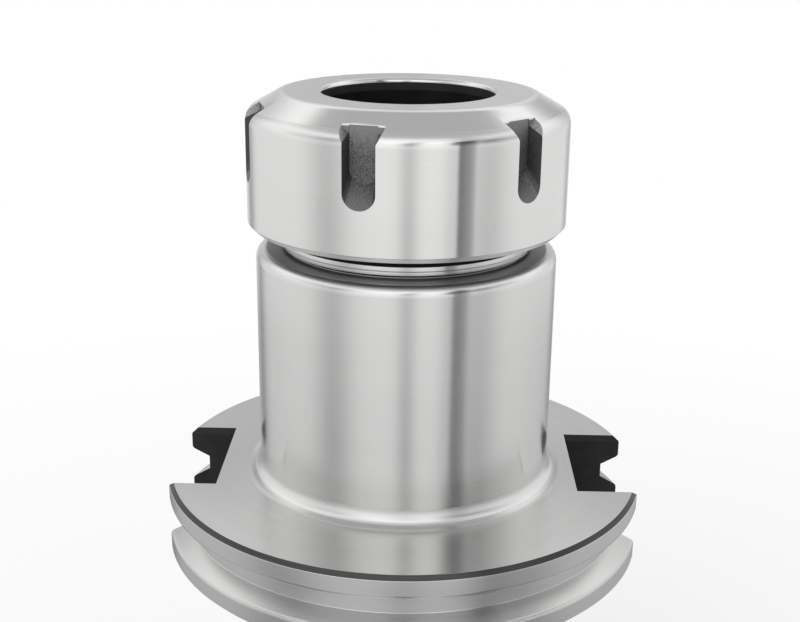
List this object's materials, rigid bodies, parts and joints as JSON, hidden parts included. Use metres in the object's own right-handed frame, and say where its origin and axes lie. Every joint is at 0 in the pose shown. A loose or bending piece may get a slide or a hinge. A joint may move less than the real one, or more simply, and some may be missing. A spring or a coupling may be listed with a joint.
{
  "type": "collet chuck holder",
  "caption": "Machine tool holder with a steep 7:24 taper shank, grooved drive flange and round body, whose threaded clamping nut closes a spring collet.",
  "frame": {"origin": "centre of the taper shank's small end, which the holder stands on", "axes": "+Z along the spindle axis from the small end to the nut, +X to the shallow key slot, -X to the deep key slot"},
  "size_m": [0.095, 0.0984, 0.1985],
  "materials": {
    "ground_steel_body": "hardened steel, ground satin, with blackened unground faces in the key slots, on the shoulder and in the bore",
    "ground_steel_nut": "hardened steel, ground satin outside, with rough blackened wrench slots and bore"
  },
  "bodies": {
    "holder": {"holder_body": "ground_steel_body"},
    "nut": {"clamping_nut": "ground_steel_nut"}
  },
  "joints": [
    {"name": "nut_turn", "type": "hinge", "parent": "holder", "child": "nut", "pos_m": [0, 0, 0.1854], "axis": [0, 0, 1], "range_deg": [-384, 2304]}
  ]
}
